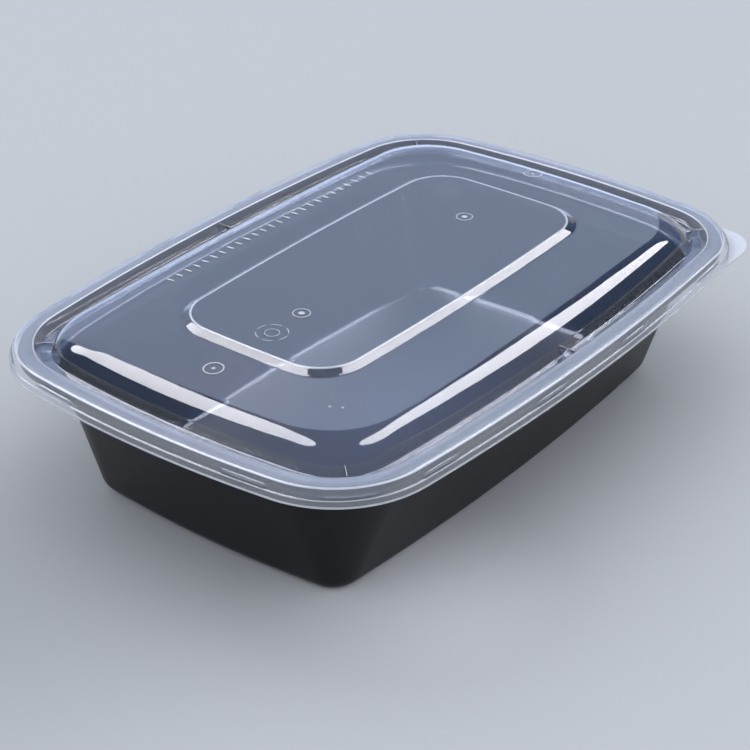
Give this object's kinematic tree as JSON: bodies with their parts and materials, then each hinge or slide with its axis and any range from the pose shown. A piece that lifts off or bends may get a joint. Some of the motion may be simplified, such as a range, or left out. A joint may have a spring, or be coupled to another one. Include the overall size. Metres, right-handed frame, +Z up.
{
  "type": "takeaway meal container",
  "caption": "Rectangular takeaway meal container: black tapered plastic tray with a clear press-on lid that has a raised panel and a corner peel tab.",
  "frame": {"origin": "middle of the base, on the surface that the tray stands on", "axes": "+Z up, X along the long side, Y along the short side; the peel tab is at the corner towards +X and -Y"},
  "size_m": [0.222, 0.1542, 0.0577],
  "materials": {
    "black_plastic": "satin",
    "clear_plastic": "clear, slightly hazy"
  },
  "bodies": {
    "root": {"tray": "black_plastic", "lid": "clear_plastic"}
  },
  "joints": []
}
